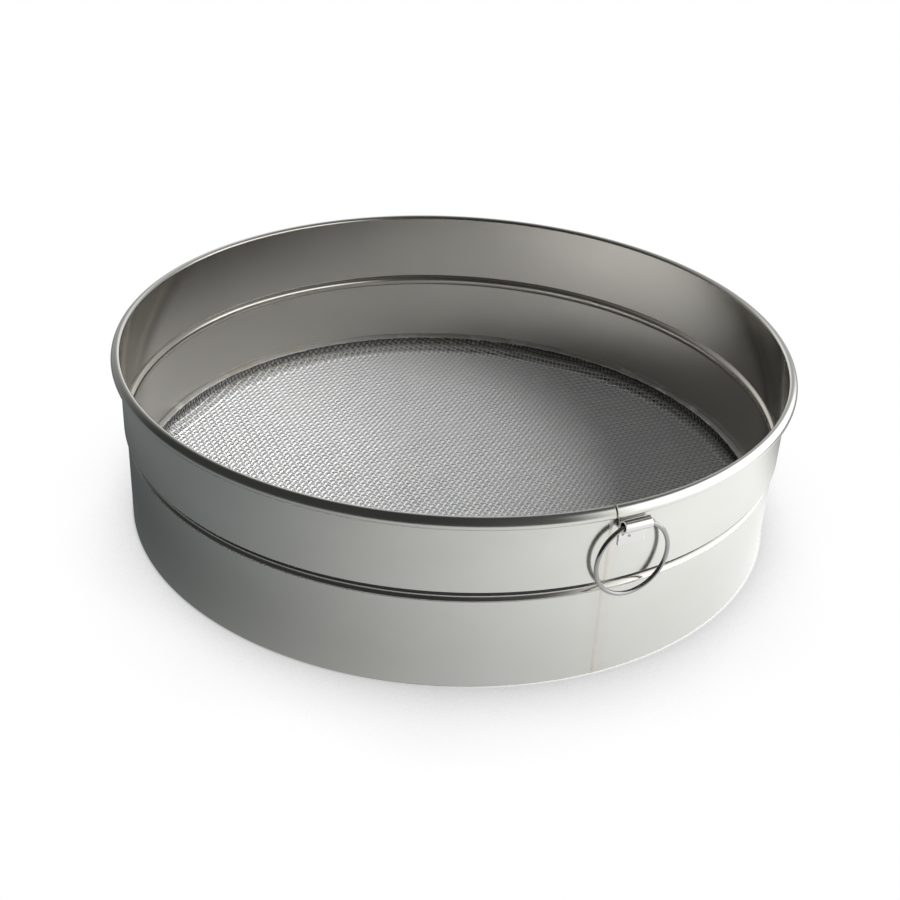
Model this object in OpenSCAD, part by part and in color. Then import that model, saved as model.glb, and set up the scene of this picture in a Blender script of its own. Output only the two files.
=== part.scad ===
// Round test sieve: a rolled sheet hoop with a wired rim and a swaged bead, a dished
// disc of woven wire cloth soldered in near the bottom edge, and a loose hanging ring
// in a strap that is spot welded under the rim.
// Origin: on the hoop's axis, in the plane of its bottom edge. +Z is up, and the
// hanging ring is on the -Y side.

/* [Hoop] */
// Outside diameter over the rolled rim
rim_d = 300; // [240:1:360]
// Height from the bottom edge to the top of the rim
hoop_h = 79; // [72:1:110]
// Thickness of the sheet that the hoop is rolled from
sheet_t = 0.6; // [0.4:0.05:0.9]
// Diameter of the stiffening wire inside the rim
rim_wire_d = 3; // [2.4:0.1:3.6]
// Gap all round between that wire and the curl
rim_wire_clearance = 0.05; // [0.02:0.01:0.15]
// How far the curl wraps round its wire, in degrees
curl_wrap = 310; // [280:1:318]

/* [Bead and skirt] */
// Height of the bead's centre above the bottom edge
bead_z = 42.2; // [34:0.2:50]
// Radius of the round groove that the bead is on the outside
bead_r = 2.1; // [1.4:0.1:2.8]
// Step inwards of the skirt under the bead, so that it nests in another sieve
skirt_step = 1.1; // [0.6:0.05:1.6]

/* [Seam] */
// Butt gap left open in the rim
rim_gap = 0.6; // [0.3:0.05:1.2]
// Angle from the strap's middle to the seam
seam_angle = 3.6; // [3:0.1:8]
// Width of the ground weld down the hoop
weld_w = 1.4; // [0.8:0.1:3]
// How far the weld stands proud of the sheet
weld_h = 0.1; // [0.05:0.01:0.2]

/* [Wire cloth] */
// Wire spacing of the cloth, centre to centre
cloth_pitch = 2.35; // [1.8:0.05:3.6]
// Diameter of the cloth's wires
cloth_wire_d = 0.65; // [0.5:0.05:0.9]
// Direction of the warp wires, in degrees from +X
warp_angle = 40.6; // [0:0.2:90]
// Height of the cloth's underside above the bottom edge
cloth_foot = 1.7; // [0.6:0.1:6]
// Width of the border between the flat cloth and the skirt's wall
border_w = 6.3; // [5:0.1:12]
// Height that the turned-up border rises above the flat cloth
border_h = 5.6; // [4:0.1:12]
// Gap between the turned-up border and the skirt's wall
border_gap = 1.6; // [1.2:0.1:2.4]
// Number of openings across the cloth
openings_across = 12; // [6:2:12]
// Number of wires that run side by side between two openings
band_wires = 3; // [3:2:5]

/* [Solder seam] */
// Height of the solder seam
solder_h = 2.6; // [1.6:0.1:4]

/* [Ring strap] */
// Width of the strap
strap_w = 11.5; // [8:0.1:16]
// Thickness of the strap
strap_t = 0.7; // [0.5:0.05:1]
// Bore of the eye that is rolled in the strap
eye_d = 3.6; // [3.4:0.1:4.6]
// Drop from the top of the rim to the eye's centre
eye_drop = 9.5; // [8:0.1:20]
// Length of the flat leaf under the eye's centre
leaf_l = 9.5; // [7:0.5:16]
// How far the eye wraps round, in degrees
eye_wrap = 300; // [280:1:312]
// Diameter of each spot weld's dimple
spot_d = 1.4; // [0.8:0.1:2.4]
// Depth of each spot weld's dimple
spot_depth = 0.15; // [0.05:0.05:0.3]

/* [Hanging ring] */
// Outside diameter of the ring
ring_d = 33; // [28:0.5:40]
// Diameter of the ring's wire
ring_wire_d = 1.8; // [1.4:0.1:2]

/* [Hidden] */

STEEL = [0.78, 0.78, 0.76];
BRIGHT_STEEL = [0.86, 0.86, 0.85];
CLOTH_STEEL = [0.70, 0.71, 0.70];
TIN = [0.66, 0.65, 0.58];

$fn = 96;
overlap = 0.01;

// The curl: its radius, and the circle that its centre runs on.
curl_r = rim_wire_d / 2 + rim_wire_clearance + sheet_t;
curl_cr = rim_d / 2 - curl_r;
curl_z = hoop_h - curl_r;

// Radii of the wall above the bead and of the skirt under it.
wall_ri = curl_cr - curl_r;
wall_ro = wall_ri + sheet_t;
skirt_ro = wall_ro - skirt_step;
skirt_ri = skirt_ro - sheet_t;

// The cloth: two wires thick, flat out to flat_r, then turned up to border_top.
cloth_t = 2 * cloth_wire_d;
web_t = cloth_wire_d * 0.5;
mid_z = cloth_foot + cloth_t / 2;
flat_r = skirt_ri - border_w;
border_ro = skirt_ri - border_gap;
border_top = cloth_foot + cloth_t + border_h;

// The bands of wires: from one to the next, and how many on each side of the middle.
band_step = cloth_pitch * ceil(2 * flat_r / openings_across / cloth_pitch);
bands = ceil(flat_r / band_step) - 1;
opening_w = band_step - (band_wires - 1) * cloth_pitch - 0.6 * cloth_wire_d;

// The strap's eye, tangent to the wall, and the ring that hangs in it.
eye_z = hoop_h - eye_drop;
eye_ri = eye_d / 2;
eye_ro = eye_ri + strap_t;
eye_r = wall_ro + eye_ro;
ring_cr = (ring_d - ring_wire_d) / 2;
ring_sag = ring_cr - sqrt(pow(ring_cr, 2) - pow(strap_w / 2, 2));
ring_z = eye_z + ring_sag / 2 - ring_cr;
spots = [[-0.37, 0.5], [-0.11, 0.63]];

// Pie slice of the plane from angle a to angle b, out to radius r.
module slice(r, a, b) {
    steps = ceil((b - a) / 60);
    polygon(concat([[0, 0]], [for (i = [0:steps]) r * [
        cos(a + (b - a) * i / steps),
        sin(a + (b - a) * i / steps)
    ]]));
}

// Sheet rolled round a centre: it leaves a wall at 180 degrees, goes over the top and
// wraps on through the given angle.
module rolled_sheet(ro, ri, wrap) {
    difference() {
        circle(ro);
        circle(ri);
        slice(2 * ro, -180, 180 - wrap);
    }
}

// Half section of the hoop, as radius and height.
module hoop_section() {
    translate([curl_cr, curl_z]) rolled_sheet(curl_r, curl_r - sheet_t, curl_wrap);
    difference() {
        union() {
            translate([wall_ri, bead_z]) square([sheet_t, curl_z - bead_z]);
            translate([skirt_ri, 0]) square([sheet_t, bead_z]);
            intersection() {
                translate([wall_ro, bead_z]) circle(bead_r + sheet_t);
                translate([0, bead_z]) square([wall_ro - sheet_t / 2, 2 * bead_r + sheet_t]);
            }
            intersection() {
                translate([wall_ro, bead_z]) circle(bead_r + sheet_t);
                square([skirt_ro - sheet_t / 2, bead_z]);
            }
        }
        translate([wall_ro, bead_z]) circle(bead_r);
    }
}

// One length of the ground weld, on the outside of a wall of radius r.
module weld_line(r, z0, z1) {
    turn = weld_w / r * 180 / PI;
    rotate([0, 0, -90 - seam_angle - turn / 2])
        rotate_extrude(angle = turn)
            translate([r - sheet_t / 2, z0])
                square([sheet_t / 2 + weld_h, z1 - z0]);
}

module hoop() {
    color(STEEL) {
        difference() {
            rotate_extrude() hoop_section();
            rotate([0, 0, -90 - seam_angle])
                translate([wall_ri - 1, -rim_gap / 2, curl_z - curl_r - overlap])
                    cube([2 * curl_r + 2, rim_gap, 2 * curl_r + 1]);
        }
        weld_line(skirt_ro, 0, bead_z - bead_r);
        weld_line(wall_ro, bead_z + bead_r, curl_z - curl_r);
    }
}

module rim_wire() {
    color(BRIGHT_STEEL)
        translate([0, 0, curl_z])
            rotate_extrude() translate([curl_cr, 0]) circle(rim_wire_d / 2);
}

// Half the length of a wire that runs at distance y from the cloth's middle.
function chord(y) = sqrt(pow(flat_r, 2) - pow(y, 2));

// The wires along X, which lie on the cloth's middle plane.
module wires() {
    side = (band_wires - 1) / 2;
    for (i = [-bands:bands], k = [-side:side]) {
        y = i * band_step + k * cloth_pitch;
        if (abs(y) < flat_r - cloth_pitch)
            translate([-chord(y), y, cloth_wire_d / 2])
                rotate([22.5, 0, 0])
                    rotate([0, 90, 0])
                        cylinder(d = cloth_wire_d, h = 2 * chord(y), $fn = 8);
    }
}

// The thin web that the wires are tied by, cut through between their bands, but for the
// four corners where only a sliver would open.
module web() {
    linear_extrude(web_t, center = true)
        difference() {
            circle(flat_r);
            for (i = [-bands - 1:bands], j = [-bands - 1:bands]) {
                middle = band_step * [i + 0.5, j + 0.5];
                if (norm(middle) < flat_r + opening_w / 2)
                    translate(middle) square(opening_w, center = true);
            }
        }
}

// Half section of the turned-up border, one cloth thick all the way.
module border_section() {
    knee = 0.45 * border_h;
    polygon([
        [flat_r - cloth_pitch / 2, cloth_foot],
        [flat_r + 0.5 * cloth_t, cloth_foot],
        [border_ro - 0.2 * cloth_t, cloth_foot + knee],
        [border_ro, cloth_foot + knee + 0.5 * cloth_t],
        [border_ro, border_top],
        [border_ro - cloth_t, border_top],
        [border_ro - cloth_t, cloth_foot + knee + cloth_t],
        [flat_r - cloth_pitch / 2, cloth_foot + cloth_t]
    ]);
}

module wire_cloth() {
    color(CLOTH_STEEL) {
        translate([0, 0, mid_z])
            rotate([0, 0, warp_angle]) {
                web();
                wires();
                rotate([0, 0, 90]) mirror([0, 0, 1]) wires();
            }
        rotate_extrude() border_section();
    }
}

module solder_seam() {
    foot = skirt_ri - border_ro + cloth_t;
    color(TIN)
        translate([0, 0, border_top])
            rotate_extrude()
                polygon([
                    [skirt_ri - foot, 0],
                    [skirt_ri, 0],
                    [skirt_ri, solder_h],
                    [skirt_ri - 0.25 * foot, 0.9 * solder_h],
                    [skirt_ri - 0.75 * foot, 0.55 * solder_h],
                    [skirt_ri - foot, 0.25 * solder_h]
                ]);
}

// Section of the strap across its width: out from the wall, and up.
module strap_section() {
    translate([eye_ro, 0]) rolled_sheet(eye_ro, eye_ri, eye_wrap);
    translate([-strap_t, -leaf_l]) square([2 * strap_t, leaf_l]);
}

module ring_strap() {
    color(STEEL)
        difference() {
            translate([-strap_w / 2, -wall_ro, eye_z])
                rotate([90, 0, 90])
                    mirror([1, 0, 0])
                        linear_extrude(strap_w) strap_section();
            translate([0, 0, eye_z - 2 * leaf_l]) cylinder(r = wall_ro, h = 4 * leaf_l, $fn = 720);
            for (s = spots)
                translate([s[0] * strap_w, 0, eye_z - s[1] * leaf_l])
                    rotate([90, 0, 0])
                        translate([0, 0, wall_ro + strap_t - spot_depth])
                            cylinder(d = spot_d, h = 1);
        }
}

module hang_ring() {
    color(BRIGHT_STEEL)
        translate([0, -eye_r, ring_z])
            rotate([90, 0, 0])
                rotate_extrude() translate([ring_cr, 0]) circle(ring_wire_d / 2);
}

hoop();
rim_wire();
wire_cloth();
solder_seam();
ring_strap();
hang_ring();
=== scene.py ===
import math

import bpy
import numpy as np
from mathutils import Matrix, Vector


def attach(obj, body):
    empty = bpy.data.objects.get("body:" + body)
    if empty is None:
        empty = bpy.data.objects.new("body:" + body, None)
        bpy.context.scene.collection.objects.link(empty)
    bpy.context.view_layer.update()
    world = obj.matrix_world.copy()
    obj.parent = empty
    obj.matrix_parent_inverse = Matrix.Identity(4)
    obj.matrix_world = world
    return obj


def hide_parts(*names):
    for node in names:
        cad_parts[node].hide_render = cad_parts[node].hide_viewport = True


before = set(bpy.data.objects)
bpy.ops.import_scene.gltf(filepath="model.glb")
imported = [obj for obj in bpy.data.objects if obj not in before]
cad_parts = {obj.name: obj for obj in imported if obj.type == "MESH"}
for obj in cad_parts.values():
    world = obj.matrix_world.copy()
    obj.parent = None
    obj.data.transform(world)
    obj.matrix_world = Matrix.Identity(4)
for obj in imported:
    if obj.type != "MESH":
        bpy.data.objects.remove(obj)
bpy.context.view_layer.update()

MM = 0.001

# The rolled hoop. The roll of its rim has a tight crown, a wide shoulder and a lip, each an arc
# that ends at the angle given in degrees.
SHEET = 0.6 * MM
RIM_TOP = 78.7 * MM
CROWN_R = 1.55 * MM
SHOULDER_R = 4.0 * MM
LIP_R = 1.9 * MM
CROWN_END = 52
SHOULDER_END = 8
LIP_END = -118
WALL_OUT = 146.3 * MM
SKIRT_OUT = 145.2 * MM
BEAD_Z = 42.2 * MM
BEAD_R = 2.1 * MM
SLIT = 0.4 * MM
EASED = 0.25 * MM
HOOP_STEPS = 480

# Where the underside of the roll's lip gets painted shade: how far out from the wall, and the
# heights.
LIP_OUT = (0.8 * MM, 1.2 * MM)
LIP_LOW = (62.2 * MM, 64.2 * MM)
LIP_HIGH = (73.9 * MM, 74.7 * MM)

# The wire in the rolled rim.
EDGE_WIRE = (147.8 * MM, 75.55 * MM)
EDGE_WIRE_R = 1.28 * MM
EDGE_SIDES = 16
EDGE_STEPS = 360

# The seam, to the left of the strap.
SEAM_ANGLE = math.radians(-93.6)
RIM_GAP = 0.6 * MM
WELD_W = 1.4 * MM
WELD_H = 0.05 * MM

# The woven cloth. Painted shade darkens its border between two heights.
PITCH = 2.35 * MM
WIRE_R = 0.325 * MM
WARP_ANGLE = math.radians(40.6)
CLOTH_Z = 2.35 * MM
BEND_R = 136.9 * MM
BEND_ASIDE = 1.2 * MM
BEND_FORWARD = 1.0 * MM
KNEE_R = 142.3 * MM
KNEE_Z = 5.1 * MM
CLOTH_TOP = 9.2 * MM
BORDER_SHADE_EDGE = (4.3 * MM, 5.5 * MM)
WIRE_SIDES = 5
STEPS_PER_MESH = 3

# The solder seam, from the cloth's edge to the wall.
SOLDER_LOW = 9.0 * MM
SOLDER_HIGH = 9.9 * MM
SOLDER_IN = 141.9 * MM
SOLDER_STEPS = 1200

# The ring strap.
STRAP_W = 11.5 * MM
STRAP_T = 0.7 * MM
EYE_R = 1.8 * MM
EYE_Z = 69.5 * MM
LEAF_L = 9.5 * MM
EYE_WRAP = 300
SPOTS = [(-4.3 * MM, 64.75 * MM), (-1.3 * MM, 63.5 * MM)]
SPOT_R = 0.7 * MM
STRAP_WALL = math.sqrt(WALL_OUT**2 - (STRAP_W / 2) ** 2)

# The place that the sieve is looked at from: turned round from the strap, and how far off and high.
VIEW_ANGLE = math.radians(-117.9)
VIEW_REACH = 557.9 * MM
VIEW_HEIGHT = 345.6 * MM
AIM_HEIGHT = 19.7 * MM
VIEW_ROLL = math.radians(3.1)
LENS = 55.55

# The paper under the sieve: half its width, the radii between which it turns white outside the
# hoop, and how far its shade looks for cover. SIEVE_HALF is half the sieve's width.
PAPER_HALF = 4
PAPER_EDGE = (143.5 * MM, 146.5 * MM)
SHADE_REACH = 0.25
SIEVE_HALF = 150 * MM

# The glowing card that the metal sees for a table, a painted reflection of its light and shade: how
# far it lies over the paper, the way it is brightest, the radii where it opens out from the sieve,
# and how far back it turns dark.
CARD_LIFT = 0.3 * MM
CARD_TURN = math.radians(-15)
CARD_OPEN = (150 * MM, 230 * MM)
CARD_BACK = (-20 * MM, 80 * MM)

# The light tent, with its window and its paler strip as two edges each, in radians round from
# the right, and the strength of the room's own light.
TENT_R = 0.55
WINDOW = ((-1.08, -0.5), (0.35, 0.85))
PALE_STRIP = ((1.25, 1.6), (1.8, 2.1))
STUDIO_STEPS = 96
ROOM_LIGHT = 0.18

# The lamps: how far round from the camera's side and how high in degrees, distance, size, power.
LAMPS = {
    "window_lamp": (90, 30, 1.4, 0.9, 42.0),
    "low_lamp": (90, 20, 1.4, 0.28, 30.0),
    "fill_lamp": (-20, 60, 1.8, 1.2, 2.0),
}

RIGHT = Vector((-math.sin(VIEW_ANGLE), math.cos(VIEW_ANGLE), 0))
BACK = Vector((-math.cos(VIEW_ANGLE), -math.sin(VIEW_ANGLE), 0))
BEND_MIDDLE = RIGHT * BEND_ASIDE - BACK * BEND_FORWARD
chance = np.random.default_rng(7)


# ---------------------------------------------------------------- shader writing


class Value:
    """One output of a node. Arithmetic on it adds Math nodes."""

    def __init__(self, sheet, socket):
        self.sheet = sheet
        self.socket = socket

    def maths(self, operation, first, second=0.0):
        return self.sheet.node("ShaderNodeMath", {"operation": operation}, {0: first, 1: second})

    def __add__(self, other):
        return self.maths("ADD", self, other)

    def __radd__(self, other):
        return self.maths("ADD", other, self)

    def __sub__(self, other):
        return self.maths("SUBTRACT", self, other)

    def __rsub__(self, other):
        return self.maths("SUBTRACT", other, self)

    def __mul__(self, other):
        return self.maths("MULTIPLY", self, other)

    def __rmul__(self, other):
        return self.maths("MULTIPLY", other, self)

    def __pow__(self, other):
        return self.maths("POWER", self, other)

    def __abs__(self):
        return self.maths("ABSOLUTE", self)


class Nodes:
    """A node tree that is written with node(), and the shapes that several finishes share."""

    def __init__(self, tree):
        self.tree = tree
        tree.nodes.clear()

    def node(self, kind, settings=None, sockets=None, output=0):
        made = self.tree.nodes.new(kind)
        for name, setting in (settings or {}).items():
            setattr(made, name, setting)
        for name, given in (sockets or {}).items():
            if isinstance(given, Value):
                self.tree.links.new(given.socket, made.inputs[name])
            else:
                made.inputs[name].default_value = given
        return Value(self, made.outputs[output] if len(made.outputs) else None)

    def place(self):
        """A point's place in the frame, in metres."""
        return self.node("ShaderNodeTexCoord", output="Object")

    def along(self, place, direction):
        """How far a place lies along a direction."""
        return self.node(
            "ShaderNodeVectorMath",
            {"operation": "DOT_PRODUCT"},
            {0: place, 1: tuple(direction)},
            output="Value",
        )

    def length_of(self, place, shares):
        """Length of a place's coordinates, each times its share."""
        scaled = self.stretched(place, shares)
        return self.node(
            "ShaderNodeVectorMath", {"operation": "LENGTH"}, {0: scaled}, output="Value"
        )

    def stretched(self, place, shares):
        """A place's coordinates, each times its share."""
        return self.node(
            "ShaderNodeVectorMath", {"operation": "MULTIPLY"}, {0: place, 1: tuple(shares)}
        )

    def seen_from(self, place, middle):
        """A place's coordinates from another middle."""
        return self.node(
            "ShaderNodeVectorMath", {"operation": "SUBTRACT"}, {0: place, 1: tuple(middle)}
        )

    def grain(self, place, shares, detail=2.0, roughness=0.5):
        """Noise from 0 to 1, with as many marks to the metre each way as the shares say."""
        return self.node(
            "ShaderNodeTexNoise",
            {"noise_dimensions": "3D"},
            {
                "Vector": self.stretched(place, shares),
                "Scale": 1.0,
                "Detail": detail,
                "Roughness": roughness,
            },
        )

    def ease(self, value, low, high):
        """0 below low, 1 above high, and smooth between them."""
        return self.node(
            "ShaderNodeMapRange",
            {"interpolation_type": "SMOOTHSTEP", "clamp": True},
            {"Value": value, "From Min": low, "From Max": high, "To Min": 0.0, "To Max": 1.0},
        )

    def band(self, value, rise, fall):
        """1 between two soft edges, each given as where it starts and where it ends."""
        return self.ease(value, *rise) * (1 - self.ease(value, *fall))

    def blend(self, share, first, second):
        """Two colours mixed: the first at share 0, the second at share 1."""
        return self.node(
            "ShaderNodeMix",
            {"data_type": "RGBA", "blend_type": "MIX", "clamp_factor": True},
            {0: share, 6: first, 7: second},
            output=2,
        )

    def bump(self, height, strength, distance, under=None):
        """A bump, on top of another where one is given."""
        sockets = {"Height": height, "Strength": strength, "Distance": distance}
        if under is not None:
            sockets["Normal"] = under
        return self.node("ShaderNodeBump", {}, sockets, output="Normal")


def finish(name, dress):
    """A metal material. dress(nodes) returns the sockets of its Principled shader."""
    material = bpy.data.materials.new(name)
    material.use_nodes = True
    nodes = Nodes(material.node_tree)
    surface = nodes.node("ShaderNodeBsdfPrincipled", {}, dress(nodes))
    nodes.node("ShaderNodeOutputMaterial", {}, {"Surface": surface})
    return material


def grey(level, warmth=0.0):
    """A grey colour, a little warm or cool."""
    return (level * (1 + warmth), level, level * (1 - 1.6 * warmth), 1.0)


# ---------------------------------------------------------------- finishes


def polished_sheet(nodes):
    """Bright rolled stainless: lines round the hoop, slow waves, and a duller, tinted weld.

    Painted shade darkens the bead's groove, its slit, the crease under it and the underside of the
    lip.
    """
    place = nodes.place()
    lines = nodes.grain(place, (45, 45, 5200), 3.0, 0.6)
    waves = nodes.grain(place, (16, 16, 24), 1.0)
    clouds = nodes.grain(place, (38, 38, 70), 4.0, 0.6)
    outward = (math.cos(SEAM_ANGLE), math.sin(SEAM_ANGLE), 0)
    sideways = (-math.sin(SEAM_ANGLE), math.cos(SEAM_ANGLE), 0)
    off_seam = abs(nodes.along(place, sideways))
    near_seam = nodes.ease(nodes.along(place, outward), 0.1, 0.14)
    weld = (1 - nodes.ease(off_seam, 0.4 * WELD_W, 0.75 * WELD_W)) * near_seam
    scorch = (1 - nodes.ease(off_seam, 0.5 * MM, 7 * MM)) * near_seam
    spatter = nodes.ease(nodes.grain(place, (900, 900, 420), 2.0), 0.6, 0.72)
    radius = nodes.length_of(place, (1, 1, 0))
    height = nodes.along(place, (0, 0, 1))
    step = (WALL_OUT - SKIRT_OUT) * nodes.ease(height, BEAD_Z - MM, BEAD_Z + MM)
    # Painted shade: the inside of the hoop takes a darker copy of the sheet's colour.
    inside = 1 - nodes.ease(radius - step, SKIRT_OUT - 0.7 * SHEET, SKIRT_OUT - 0.3 * SHEET)
    colour = nodes.blend(inside, (0.702, 0.71, 0.672, 1.0), (0.56, 0.54, 0.49, 1.0))
    colour = nodes.blend(clouds * 0.4, colour, grey(0.56, 0.03))
    out = radius - WALL_OUT
    rise = height - BEAD_Z
    groove = 1 - nodes.ease((out * out + rise * rise) ** 0.5, BEAD_R + 0.08 * MM, BEAD_R + 0.2 * MM)
    groove = groove * nodes.ease(rise, -0.3 * MM, 0)
    slit_foot = (0.84 * BEAD_R, 0.92 * BEAD_R)
    slit_top = (BEAD_R + SLIT + 0.3 * MM, BEAD_R + SLIT + 0.5 * MM)
    slit = nodes.band(rise, slit_foot, slit_top) * nodes.ease(out, -1.3 * SLIT, -1.15 * SLIT)
    crease_foot = (-BEAD_R - 0.4 * MM, -BEAD_R - 0.2 * MM)
    crease_top = (-BEAD_R, 0.25 * MM - BEAD_R)
    crease = nodes.band(rise, crease_foot, crease_top) * (1 - inside)
    lip = nodes.band(height, LIP_LOW, LIP_HIGH) * nodes.ease(out, *LIP_OUT)
    # Painted shade: the groove, its slit, the crease and the lip's underside turn dark and matt
    # where shade falls.
    painted_shade = groove + slit + 0.6 * crease + 0.75 * lip
    colour = nodes.blend(painted_shade, colour, grey(0.02))
    colour = nodes.blend(scorch * clouds * 0.45, colour, (0.62, 0.58, 0.49, 1.0))
    colour = nodes.blend(weld * (0.1 + 0.5 * spatter), colour, (0.42, 0.40, 0.36, 1.0))
    roughness = 0.13 + 0.06 * clouds + 0.03 * lines + 0.16 * weld + 0.7 * painted_shade
    under = nodes.bump(waves, 0.22, 0.6 * MM)
    normal = nodes.bump(lines, 0.045, 0.12 * MM, under)
    return {
        "Base Color": colour,
        "Metallic": 1 - painted_shade,
        "Roughness": roughness,
        "Normal": normal,
        "Anisotropic": 0.7,
        "Anisotropic Rotation": 0.25,
    }


def bright_wire(nodes):
    """Drawn stainless wire."""
    place = nodes.place()
    clouds = nodes.grain(place, (260, 260, 260), 3.0)
    scratches = nodes.grain(place, (2600, 2600, 2600), 3.0, 0.7)
    colour = nodes.blend(clouds, grey(0.33), grey(0.41, 0.01))
    normal = nodes.bump(scratches, 0.05, 0.05 * MM)
    roughness = 0.1 + 0.1 * clouds
    return {"Base Color": colour, "Metallic": 1.0, "Roughness": roughness, "Normal": normal}


def woven_wire(nodes):
    """Fine crimped wire, pale and satin after its pickling, with painted shade on the border's
    slope and up the border, and a painted white highlight along the bend.
    """
    place = nodes.place()
    clouds = nodes.grain(place, (60, 60, 60), 3.0)
    scratches = nodes.grain(place, (3000, 3000, 3000), 2.0, 0.7)
    border = nodes.ease(nodes.along(place, (0, 0, 1)), *BORDER_SHADE_EDGE)
    radius = nodes.length_of(nodes.seen_from(place, BEND_MIDDLE), (1, 1, 0))
    slope = nodes.ease(radius, BEND_R + 0.4 * MM, BEND_R + 1.6 * MM) * (1 - border)
    bend_in = (BEND_R - 1.5 * MM, BEND_R - 0.5 * MM)
    bend_out = (BEND_R + 0.2 * MM, BEND_R + 1.1 * MM)
    painted_bend_highlight = nodes.band(radius, bend_in, bend_out)
    colour = nodes.blend(clouds, grey(0.88, -0.004), grey(0.95))
    # Painted shade: the border's slope is darkened a little, and its upright part nearly to black.
    colour = nodes.blend(slope * 0.4, colour, (0.2, 0.19, 0.17, 1.0))
    colour = nodes.blend(border * 0.95, colour, grey(0.03))
    # Painted highlight: a white, non-metallic line along the cloth's bend.
    colour = nodes.blend(painted_bend_highlight, colour, grey(1.0))
    normal = nodes.bump(scratches, 0.03, 0.02 * MM)
    roughness = 0.38 + 0.1 * clouds + 0.1 * border
    metallic = 0.3 - 0.3 * painted_bend_highlight
    return {"Base Color": colour, "Metallic": metallic, "Roughness": roughness, "Normal": normal}


def dull_tin(nodes):
    """Hand-run solder: grey and lumpy, yellowed in places by flux, with brighter wiped spots."""
    place = nodes.place()
    lumps = nodes.grain(place, (520, 520, 520), 4.0, 0.6)
    patches = nodes.grain(place, (28, 28, 60), 2.0)
    flux = nodes.ease(patches, 0.48, 0.62)
    wiped = nodes.ease(nodes.grain(place, (70, 70, 300), 2.0), 0.56, 0.66)
    colour = nodes.blend(flux * 0.6, grey(0.64, 0.01), (0.6, 0.57, 0.46, 1.0))
    colour = nodes.blend(wiped, colour, grey(0.8, 0.01))
    roughness = 0.46 - 0.2 * wiped + 0.12 * lumps
    normal = nodes.bump(lumps, 0.55, 0.25 * MM)
    return {"Base Color": colour, "Metallic": 0.85, "Roughness": roughness, "Normal": normal}


def strap_sheet(nodes):
    """Polished strip with the leaf's two spot welds, painted shade inside the eye and pale cut
    edges.
    """
    place = nodes.place()
    lines = nodes.grain(place, (300, 300, 4200), 3.0, 0.6)
    clouds = nodes.grain(place, (180, 180, 180), 3.0)
    dimples = 0.0
    for x, z in SPOTS:
        reach = nodes.length_of(nodes.seen_from(place, (x, 0, z)), (1, 0, 1))
        dimples = dimples + (1 - nodes.ease(reach, 0.5 * SPOT_R, 1.15 * SPOT_R))
    colour = nodes.blend(clouds, grey(0.72, 0.01), grey(0.68, 0.02))
    colour = nodes.blend(dimples, colour, (0.40, 0.37, 0.32, 1.0))
    eye = (0, -STRAP_WALL - STRAP_T - EYE_R, EYE_Z)
    from_eye = nodes.length_of(nodes.seen_from(place, eye), (0, 1, 1))
    # Painted shade: the inside of the rolled eye is painted nearly black.
    eye_painted_shade = 1 - nodes.ease(from_eye, EYE_R + 0.1 * MM, EYE_R + 0.3 * MM)
    colour = nodes.blend(eye_painted_shade, colour, grey(0.03))
    aside = abs(nodes.along(place, (1, 0, 0)))
    cut = nodes.ease(aside, STRAP_W / 2 - 0.12 * MM, STRAP_W / 2 - 0.04 * MM)
    colour = nodes.blend(cut, colour, grey(0.92))
    metallic = 1 - 0.9 * cut
    roughness = 0.17 + 0.08 * clouds + 0.2 * dimples + 0.4 * cut
    under = nodes.bump(1 - dimples, 1.0, 0.15 * MM)
    normal = nodes.bump(lines, 0.05, 0.1 * MM, under)
    return {"Base Color": colour, "Metallic": metallic, "Roughness": roughness, "Normal": normal}


# ---------------------------------------------------------------- shapes


def arc(middle, radius, start, stop, steps):
    """Points of an arc, from one angle to another in degrees."""
    turns = np.radians(np.linspace(start, stop, steps + 1))
    return np.column_stack([middle[0] + radius * np.cos(turns), middle[1] + radius * np.sin(turns)])


def lengths_along(line):
    """How far along a line each of its points lies."""
    steps = np.diff(line, axis=0)
    return np.concatenate([[0.0], np.cumsum(np.hypot(steps[:, 0], steps[:, 1]))])


def eased(line, reach, sharp=25):
    """An open line with each corner that turns by more than sharp degrees eased over that reach."""
    steps = np.diff(line, axis=0)
    heading = np.unwrap(np.arctan2(steps[:, 1], steps[:, 0]))
    run = lengths_along(line)
    made = []
    last = 0.0
    for i in 1 + np.flatnonzero(abs(np.diff(heading)) > math.radians(sharp)):
        made += [p for p, r in zip(line, run) if last <= r < run[i] - reach]
        near, far = (
            np.array([np.interp(r, run, line[:, 0]), np.interp(r, run, line[:, 1])])
            for r in (run[i] - reach, run[i] + reach)
        )
        for t in np.linspace(0, 1, 5):
            made.append((1 - t) ** 2 * near + 2 * t * (1 - t) * line[i] + t**2 * far)
        last = run[i] + reach + 1e-9
    made += [p for p, r in zip(line, run) if r >= last]
    return np.array(made)


def ruled(line, step, edge):
    """The same line with points every step, and one close to each end of a long straight."""
    made = [line[0]]
    for start, stop in zip(line[:-1], line[1:]):
        length = np.hypot(*(stop - start))
        if length > 4 * edge:
            count = max(1, round(length / step))
            shares = [edge / length] + [k / count for k in range(1, count)] + [1 - edge / length]
            made += [start + (stop - start) * s for s in shares]
        made.append(stop)
    return np.array(made)


def grid_faces(rows, columns, round_rows=False, round_columns=False):
    """Corner numbers of a grid's faces, and each corner's place on the unit square."""
    i, j = np.meshgrid(
        np.arange(rows - (not round_rows)), np.arange(columns - (not round_columns)), indexing="ij"
    )
    i, j = i.ravel(), j.ravel()
    corners = [(i, j), (i, j + 1), (i + 1, j + 1), (i + 1, j)]
    faces = np.column_stack([(a % rows) * columns + b % columns for a, b in corners])
    places = np.stack(
        [
            np.column_stack([b / (columns - (not round_columns)), a / (rows - (not round_rows))])
            for a, b in corners
        ],
        axis=1,
    )
    return faces, places


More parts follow.
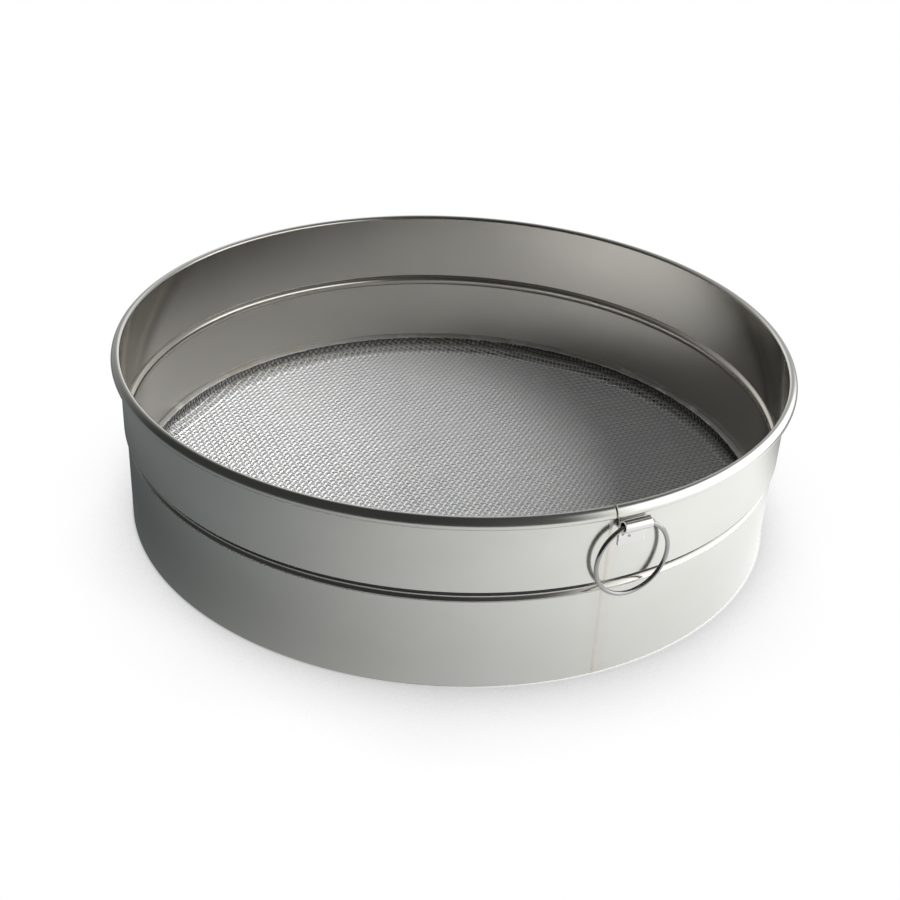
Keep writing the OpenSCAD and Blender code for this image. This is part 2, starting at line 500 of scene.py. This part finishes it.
def piece_of(name, points, faces, places, material, body):
    """A smooth piece that rides on a body, with its own map for a bake."""
    mesh = bpy.data.meshes.new(name)
    mesh.from_pydata(points.tolist(), [], faces.tolist())
    mesh.shade_smooth()
    layer = mesh.uv_layers.new(name="OFBake")
    layer.uv.foreach_set("vector", places.astype(np.float32).ravel())
    mesh.materials.append(material)
    mesh.validate()
    piece = bpy.data.objects.new(name, mesh)
    bpy.context.scene.collection.objects.link(piece)
    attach(piece, body)
    return piece


def wobble(angles, waves, size):
    """An uneven line round a circle: a sum of waves with random turns, about size high."""
    found = np.zeros_like(angles)
    for wave in waves:
        found += np.cos(wave * angles + chance.uniform(0, 2 * math.pi)) * chance.uniform(0.5, 1)
    return found * size / math.sqrt(len(waves))


# ---------------------------------------------------------------- the pieces


def rolled_rim(inset):
    """The roll's section from the wall over its crown and shoulder and round its lip."""
    middle = np.array([WALL_OUT - SHEET + CROWN_R, RIM_TOP - CROWN_R])
    line = []
    start = 180
    bends = [(CROWN_R, CROWN_END, 14), (SHOULDER_R, SHOULDER_END, 10), (LIP_R, LIP_END, 18)]
    for turn, (radius, stop, steps) in enumerate(bends):
        line.extend(arc(middle, radius - inset, start, stop, steps)[1:])
        start = stop
        if turn + 1 < len(bends):
            way = np.array([math.cos(math.radians(stop)), math.sin(math.radians(stop))])
            middle = middle + (radius - bends[turn + 1][0]) * way
    return np.array(line)


def hoop_lines():
    """The sheet's section in four lines: up the outside, the roll's two faces, down the inside."""
    wall_in = WALL_OUT - SHEET
    skirt_in = SKIRT_OUT - SHEET
    skirt_mid = SKIRT_OUT - SHEET / 2
    top = RIM_TOP - CROWN_R
    bead = (WALL_OUT, BEAD_Z)
    inner_r = BEAD_R + SHEET
    low_out = 180 + math.degrees(math.acos((WALL_OUT - SKIRT_OUT) / BEAD_R))
    high_in = 180 - math.degrees(math.acos(SHEET / inner_r))
    low_in = 180 + math.degrees(math.acos((WALL_OUT - skirt_in) / inner_r))
    outside = np.vstack(
        [
            [(skirt_mid, 0), (SKIRT_OUT, 0)],
            arc(bead, BEAD_R, low_out, 90 + math.degrees(math.asin(SLIT / BEAD_R)), 24),
            [(WALL_OUT - SLIT, BEAD_Z + BEAD_R + SLIT), (WALL_OUT, BEAD_Z + BEAD_R + SLIT)],
            [(WALL_OUT, top)],
        ]
    )
    inside = np.vstack(
        [
            [(wall_in, top)],
            arc(bead, inner_r, high_in, low_in, 22),
            [(skirt_in, 0), (skirt_mid, 0)],
        ]
    )
    under = rolled_rim(SHEET)
    over = rolled_rim(0)[::-1]
    outside = ruled(eased(outside, EASED), 6 * MM, 0.2 * MM)
    inside = ruled(eased(inside, EASED), 6 * MM, 0.2 * MM)
    return outside, under, over, inside[:-1]


def hoop_sheet():
    """The rolled hoop, with its rim open across the seam and its weld just proud of the wall."""
    outside, under, over, inside = hoop_lines()
    line = np.vstack([outside, under, over, inside])
    half_gap = RIM_GAP / 2 / EDGE_WIRE[0]
    beside = np.array([half_gap, 1.7 * half_gap, 2.4 * half_gap, 3.2 * half_gap])
    even = np.linspace(0, 2 * math.pi, HOOP_STEPS + 1)[:-1] + math.pi / HOOP_STEPS
    even = even[even > 4.5 * half_gap]
    even = even[even < 2 * math.pi - 4.5 * half_gap]
    turns = np.concatenate([beside, even, 2 * math.pi - beside[::-1]])
    angles = SEAM_ANGLE + turns
    off_seam = np.minimum(turns, 2 * math.pi - turns) * WALL_OUT
    proud = WELD_H * np.clip(1.25 - off_seam / (0.6 * WELD_W), 0, 1)
    radii = np.repeat(line[:, :1], len(angles), axis=1)
    radii[1 : len(outside)] += proud
    heights = np.repeat(line[:, 1:], len(angles), axis=1)
    points = np.stack([radii * np.cos(angles), radii * np.sin(angles), heights], axis=2)
    faces, places = grid_faces(len(line), len(angles), True, True)
    row, column = np.divmod(np.arange(len(faces)), len(angles))
    first, last = len(outside) - 1, len(outside) + len(under) + len(over)
    in_gap = (column == len(angles) - 1) & (row >= first) & (row < last)
    faces, places = faces[~in_gap], places[~in_gap]
    caps = []
    folds = np.arange(first, first + len(under))
    twins = last + first - folds
    for column in (0, len(angles) - 1):
        cap = [folds, folds + 1, twins - 1, twins]
        cap = cap if column else cap[::-1]
        caps.append(np.column_stack([r * len(angles) + column for r in cap]))
    top = [(first, 0), (first, len(angles) - 1), (last, len(angles) - 1), (last, 0)]
    caps.append(np.array([[r * len(angles) + c for r, c in top]]))
    caps = np.vstack(caps)
    faces = np.vstack([faces, caps])
    places = np.vstack([places, np.full((len(caps), 4, 2), 0.0)])
    piece = piece_of(
        "hoop_sheet",
        points.reshape(-1, 3),
        faces,
        places,
        finish("polished_sheet", polished_sheet),
        "sieve",
    )
    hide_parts("hoop")


def cloth_meridian():
    """The cloth's middle line from its centre up its border: run, radius, height, heading."""
    border_top = (KNEE_R + 0.1 * MM, CLOTH_TOP)
    corners = np.array([(0, CLOTH_Z), (BEND_R, CLOTH_Z), (KNEE_R, KNEE_Z), border_top])
    line = ruled(eased(corners, 1.1 * MM, 10), 5 * MM, 0.3 * MM)
    steps = np.diff(line, axis=0)
    heading = np.arctan2(steps[:, 1], steps[:, 0])
    heading = np.concatenate([heading[:1], (heading[1:] + heading[:-1]) / 2, heading[-1:]])
    return lengths_along(line), line[:, 0], line[:, 1], heading


def wire(number, lay, side, meridian):
    """Points round one woven wire, from its number, its direction and the side it starts on."""
    run, radius, height, heading = meridian
    step = PITCH / STEPS_PER_MESH
    off = number * PITCH + chance.normal(0, 0.02) * MM
    half = int(math.sqrt(max(run[-1] ** 2 - off**2, 0)) / step)
    along = np.arange(-half, half + 1) * step
    sway = 0.05 * MM * np.sin(along / (31 * MM) + chance.uniform(0, 6.28))
    flat_out = np.hypot(along, off + sway)
    angle = np.arctan2(off + sway, along) + lay
    out = np.column_stack([np.cos(angle), np.sin(angle), np.zeros_like(angle)])
    up = np.array([0.0, 0.0, 1.0])
    tilt = np.interp(flat_out, run, heading)[:, None]
    normal = up * np.cos(tilt) - out * np.sin(tilt)
    middle = out * np.interp(flat_out, run, radius)[:, None]
    tall = np.interp(flat_out, run, height)
    middle += up * tall[:, None]
    shift = 1 - np.clip((tall - CLOTH_Z) / (KNEE_Z - CLOTH_Z), 0, 1)
    middle += np.outer(shift, BEND_MIDDLE)
    crimp = side * (-1) ** number * WIRE_R * np.cos(math.pi * along / PITCH)
    middle += normal * crimp[:, None]
    ahead = np.gradient(middle, axis=0)
    ahead /= np.linalg.norm(ahead, axis=1)[:, None]
    across = np.cross(ahead, normal)
    across /= np.linalg.norm(across, axis=1)[:, None]
    over = np.cross(across, ahead)
    turns = np.arange(WIRE_SIDES) * 2 * math.pi / WIRE_SIDES
    round_wire = [across * math.cos(t) + over * math.sin(t) for t in turns]
    return np.stack([middle + WIRE_R * r for r in round_wire], axis=1)


def woven_cloth():
    """The plain weave: every wire for itself, half of each family to a piece."""
    meridian = cloth_meridian()
    most = int(meridian[0][-1] / PITCH - 0.3)
    halves = [range(-most, 0), range(0, most + 1)]
    material = finish("woven_wire", woven_wire)
    for family, lay, side in (("warp", WARP_ANGLE, 1), ("weft", WARP_ANGLE + math.pi / 2, -1)):
        for half, numbers in zip(("left", "right"), halves):
            points, faces, places, count = [], [], [], 0
            for k, number in enumerate(numbers):
                tube = wire(number, lay, side, meridian)
                corners, spots = grid_faces(len(tube), WIRE_SIDES, False, True)
                points.append(tube.reshape(-1, 3))
                faces.append(corners + count)
                places.append(spots * (1 / len(numbers), 1) + (k / len(numbers), 0))
                count += tube.shape[0] * WIRE_SIDES
            piece = piece_of(
                f"{family}_wires_{half}",
                np.vstack(points),
                np.vstack(faces),
                np.vstack(places),
                material,
                "sieve",
            )
            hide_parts("wire_cloth")


def solder_run():
    """The solder, run by hand round the cloth's edge: a rough fillet that leans on the wall."""
    wall = SKIRT_OUT - SHEET + 0.05 * MM
    angles = np.linspace(0, 2 * math.pi, SOLDER_STEPS + 1)[:-1]
    lean = np.array([(1.0, 0.0), (0.5, -0.08), (0.0, 0.0), (-0.04, 0.2), (0.05, 0.4), (0.2, 0.58)])
    lean = np.vstack([lean, [(0.42, 0.76), (0.66, 0.9), (0.86, 0.98), (1.0, 1.0), (1.0, 0.5)]])
    slow = [2, 3, 5, 9, 14, 21]
    quick = [33, 47, 71, 103, 149, 197]
    radii, heights = [], []
    for out, up in lean:
        free = math.sin(math.pi * np.clip(up, 0, 1)) if out < 1 else 0.0
        bulge = wobble(angles, quick, 0.16 * MM) * (0.3 + free)
        radii.append(SOLDER_IN + (wall - SOLDER_IN) * out + bulge * (out < 1))
        heights.append(SOLDER_LOW + (SOLDER_HIGH - SOLDER_LOW) * up + 0 * angles)
    radii = np.minimum(np.array(radii), wall)
    rise = wobble(angles, slow, 0.22 * MM) + wobble(angles, quick, 0.12 * MM)
    heights = np.array(heights) + np.outer(lean[:, 1], rise)
    foot = wobble(angles, quick, 0.14 * MM)
    heights += np.outer(1 - np.clip(lean[:, 1] * 2, 0, 1), foot) * (lean[:, :1] < 1)
    points = np.stack([radii * np.cos(angles), radii * np.sin(angles), heights], axis=2)
    faces, places = grid_faces(len(lean), len(angles), True, True)
    piece = piece_of(
        "solder_run",
        points.reshape(-1, 3),
        faces,
        places,
        finish("dull_tin", dull_tin),
        "sieve",
    )
    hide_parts("solder_seam")


def folded_strap():
    """The strip: a leaf on the wall, rolled over into the ring's eye, with its edges broken."""
    eye = (STRAP_T + EYE_R, 0)
    outer = EYE_R + STRAP_T
    end = 180 - EYE_WRAP
    line = np.vstack(
        [
            [(0, -LEAF_L), (STRAP_T, -LEAF_L)],
            arc(eye, EYE_R, 180, end, 30),
            arc(eye, outer, end, 180, 36),
        ]
    )
    ends = np.array([-STRAP_W / 2, STRAP_W / 2])
    points = np.array([(x, -STRAP_WALL - out, EYE_Z + up) for x in ends for out, up in line])
    count = len(line)
    faces = [[k, (k + 1) % count, count + (k + 1) % count, count + k] for k in range(count)]
    faces += [list(range(count))[::-1], list(range(count, 2 * count))]
    mesh = bpy.data.meshes.new("folded_strap")
    mesh.from_pydata(points.tolist(), [], faces)
    mesh.materials.append(finish("strap_sheet", strap_sheet))
    mesh.shade_smooth()
    mesh.validate()
    piece = bpy.data.objects.new("folded_strap", mesh)
    bpy.context.scene.collection.objects.link(piece)
    edges = piece.modifiers.new("broken_edges", "BEVEL")
    edges.width = 0.09 * MM
    edges.segments = 2
    edges.limit_method = "ANGLE"
    edges.angle_limit = math.radians(50)
    edges.harden_normals = True
    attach(piece, "sieve")
    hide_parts("ring_strap")


def edge_wire(material):
    """The wire in the rolled rim, which shows where the rim is open."""
    line = arc(EDGE_WIRE, EDGE_WIRE_R, 0, 360, EDGE_SIDES)[:-1]
    angles = np.linspace(0, 2 * math.pi, EDGE_STEPS + 1)[:-1]
    rings = [
        np.column_stack([r * np.cos(angles), r * np.sin(angles), z + 0 * angles]) for r, z in line
    ]
    faces, places = grid_faces(len(line), len(angles), True, True)
    piece = piece_of("edge_wire", np.vstack(rings), faces, places, material, "sieve")
    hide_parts("rim_wire")


def hanging_ring(material):
    """The ring keeps its own mesh and gets the drawn wire's finish."""
    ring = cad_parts["hang_ring"]
    ring.data.materials.clear()
    ring.data.materials.append(material)
    for polygon in ring.data.polygons:
        polygon.use_smooth = True


# ---------------------------------------------------------------- studio


def camera():
    """Looks down into the sieve from the left of the strap."""
    eye = -BACK * VIEW_REACH + Vector((0, 0, VIEW_HEIGHT))
    ahead = (Vector((0, 0, AIM_HEIGHT)) - eye).normalized()
    right = ahead.cross(Vector((0, 0, 1))).normalized()
    up = right.cross(ahead)
    across = right * math.cos(VIEW_ROLL) + up * math.sin(VIEW_ROLL)
    upward = -right * math.sin(VIEW_ROLL) + up * math.cos(VIEW_ROLL)
    data = bpy.data.cameras.new("camera")
    data.lens = LENS
    data.sensor_width = 36
    data.clip_start = 0.01
    made = bpy.data.objects.new("camera", data)
    turn = Matrix((across, upward, -ahead)).transposed().to_4x4()
    made.matrix_world = Matrix.Translation(eye) @ turn
    bpy.context.scene.collection.objects.link(made)
    bpy.context.scene.camera = made


def softbox(name, turn, height, reach, size, power):
    """A square lamp that looks at the sieve and is not seen in the metal."""
    side = math.sin(math.radians(turn))
    behind = -math.cos(math.radians(turn))
    level = math.cos(math.radians(height))
    place = (RIGHT * side + BACK * behind) * level + Vector((0, 0, math.sin(math.radians(height))))
    place *= reach
    data = bpy.data.lights.new(name, "AREA")
    data.shape = "SQUARE"
    data.size = size
    data.energy = power
    made = bpy.data.objects.new(name, data)
    made.location = place
    made.rotation_euler = (-place).to_track_quat("-Z", "Y").to_euler()
    made.visible_glossy = False
    bpy.context.scene.collection.objects.link(made)


def studio_piece(name, points, faces, tone, metal_only):
    """A part of the studio, seen by all or by the metal only. tone(nodes) returns its shader."""
    material = bpy.data.materials.new(name)
    material.use_nodes = True
    nodes = Nodes(material.node_tree)
    nodes.node("ShaderNodeOutputMaterial", {}, {"Surface": tone(nodes)})
    mesh = bpy.data.meshes.new(name)
    mesh.from_pydata(points, [], faces)
    mesh.materials.append(material)
    made = bpy.data.objects.new(name, mesh)
    bpy.context.scene.collection.objects.link(made)
    if metal_only:
        made.visible_camera = False
        made.visible_diffuse = False
        made.visible_shadow = False
        made.visible_transmission = False


def turned(line, steps):
    """Points and faces of a line of radius and height that is turned round the hoop's axis."""
    turns = np.linspace(0, 2 * math.pi, steps + 1)[:-1]
    points = [(r * math.cos(t), r * math.sin(t), z) for r, z in line for t in turns]
    faces, _ = grid_faces(len(line), steps, False, True)
    return points, faces.tolist()


def paper_tone(nodes):
    """White paper: plain white further off, a painted shade halo round the sieve's foot that is
    lighter to the sides, and a darker grey paper under the sieve as painted shade.
    """
    rays = [
        nodes.node("ShaderNodeLightPath", output=kind)
        for kind in ("Is Camera Ray", "Is Glossy Ray", "Is Transmission Ray")
    ]
    seen = nodes.node(
        "ShaderNodeMath", {"operation": "MINIMUM"}, {0: rays[0] + rays[1] + rays[2], 1: 1.0}
    )
    radius = nodes.length_of(nodes.place(), (1, 1, 0))
    outside = nodes.ease(radius, *PAPER_EDGE)
    # Painted shade: the paper inside the hoop is a darker grey.
    paper_with_painted_shade = nodes.blend(outside, grey(0.6), grey(0.9))
    lit = nodes.node("ShaderNodeBsdfDiffuse", {}, {"Color": paper_with_painted_shade})
    open_sky = nodes.node(
        "ShaderNodeAmbientOcclusion", {"samples": 8}, {"Distance": SHADE_REACH}, "AO"
    )
    sideways = abs(nodes.along(nodes.place(), RIGHT / SIEVE_HALF))
    # Painted shade: a halo darker where the sieve hides the sky, lighter to the sides.
    tone = 1.95 * open_sky - 0.41 + 0.13 * sideways
    tone = nodes.node("ShaderNodeMath", {"operation": "MINIMUM"}, {0: tone, 1: 1.0})
    white_with_painted_halo = nodes.node("ShaderNodeEmission", {}, {"Color": grey(1.0), "Strength": tone})
    return nodes.node("ShaderNodeMixShader", {}, {0: seen * outside, 1: lit, 2: white_with_painted_halo})


def painted_table_reflection(nodes):
    """A glowing card, a painted reflection of the table as the metal sees it: dark and cool to the
    left, bright to the right in front, darker close to the sieve and far back.
    """
    place = nodes.stretched(nodes.place(), (1, 1, 0))
    heading = nodes.node("ShaderNodeVectorMath", {"operation": "NORMALIZE"}, {0: place})
    lean = nodes.along(heading, RIGHT * math.cos(CARD_TURN) + BACK * math.sin(CARD_TURN))
    open_table = nodes.ease(nodes.length_of(place, (1, 1, 1)), *CARD_OPEN)
    far_side = nodes.ease(nodes.along(place, BACK), *CARD_BACK)
    tone = 0.09 + 0.11 * open_table + 1.03 * (0.5 + 0.5 * lean) ** 1.7 * (1 - 0.85 * far_side)
    colour = nodes.blend(nodes.ease(lean, 0, -0.9), grey(1.0), (0.93, 1.0, 1.02, 1.0))
    return nodes.node("ShaderNodeEmission", {}, {"Color": colour, "Strength": tone})


def tent_tone(nodes):
    """The light tent: a wide window to the right, a paler back, and dark in front and overhead."""
    place = nodes.node("ShaderNodeVectorMath", {"operation": "NORMALIZE"}, {0: nodes.place()})
    right = nodes.along(place, RIGHT)
    back = nodes.along(place, BACK)
    up = nodes.along(place, (0, 0, 1))
    cloth = 0.045 + 0.55 * nodes.ease(back, -0.1, 1.2) + 0.1 * nodes.ease(right, -0.1, 0.8)
    turn = nodes.node("ShaderNodeMath", {"operation": "ARCTAN2"}, {0: back, 1: right})
    window = nodes.band(turn, *WINDOW)
    pale = nodes.band(turn, *PALE_STRIP)
    low = 1 - nodes.ease(up, 0.6, 0.75)
    tone = cloth + (1.8 * window + 0.5 * pale) * low
    return nodes.node("ShaderNodeEmission", {}, {"Color": grey(1.0), "Strength": tone})


def room():
    """Plain even light all round, and plain white to the eye."""
    world = bpy.data.worlds.new("room")
    bpy.context.scene.world = world
    world.use_nodes = True
    nodes = Nodes(world.node_tree)
    seen = nodes.node("ShaderNodeLightPath", output="Is Camera Ray")
    strength = ROOM_LIGHT + (1 - ROOM_LIGHT) * seen
    sky = nodes.node("ShaderNodeBackground", {}, {"Color": grey(1.0), "Strength": strength})
    nodes.node("ShaderNodeOutputWorld", {}, {"Surface": sky})


camera()
room()
floor = [(x * PAPER_HALF, y * PAPER_HALF, 0) for x, y in ((-1, -1), (1, -1), (1, 1), (-1, 1))]
studio_piece("floor", floor, [(0, 1, 2, 3)], paper_tone, False)
card_edges = [(SKIRT_OUT, CARD_LIFT), (TENT_R, CARD_LIFT)]
studio_piece("table_card", *turned(card_edges, STUDIO_STEPS), painted_table_reflection, True)
climb = np.radians(np.linspace(0, 89.9, 25))
dome = np.column_stack([np.cos(climb), np.sin(climb)]) * TENT_R
studio_piece("light_tent", *turned(dome, STUDIO_STEPS), tent_tone, True)
for lamp, numbers in LAMPS.items():
    softbox(lamp, *numbers)
bpy.context.scene.view_settings.view_transform = "Standard"

hoop_sheet()
woven_cloth()
solder_run()
folded_strap()
drawn_wire = finish("bright_wire", bright_wire)
edge_wire(drawn_wire)
hanging_ring(drawn_wire)


bpy.context.view_layer.update()
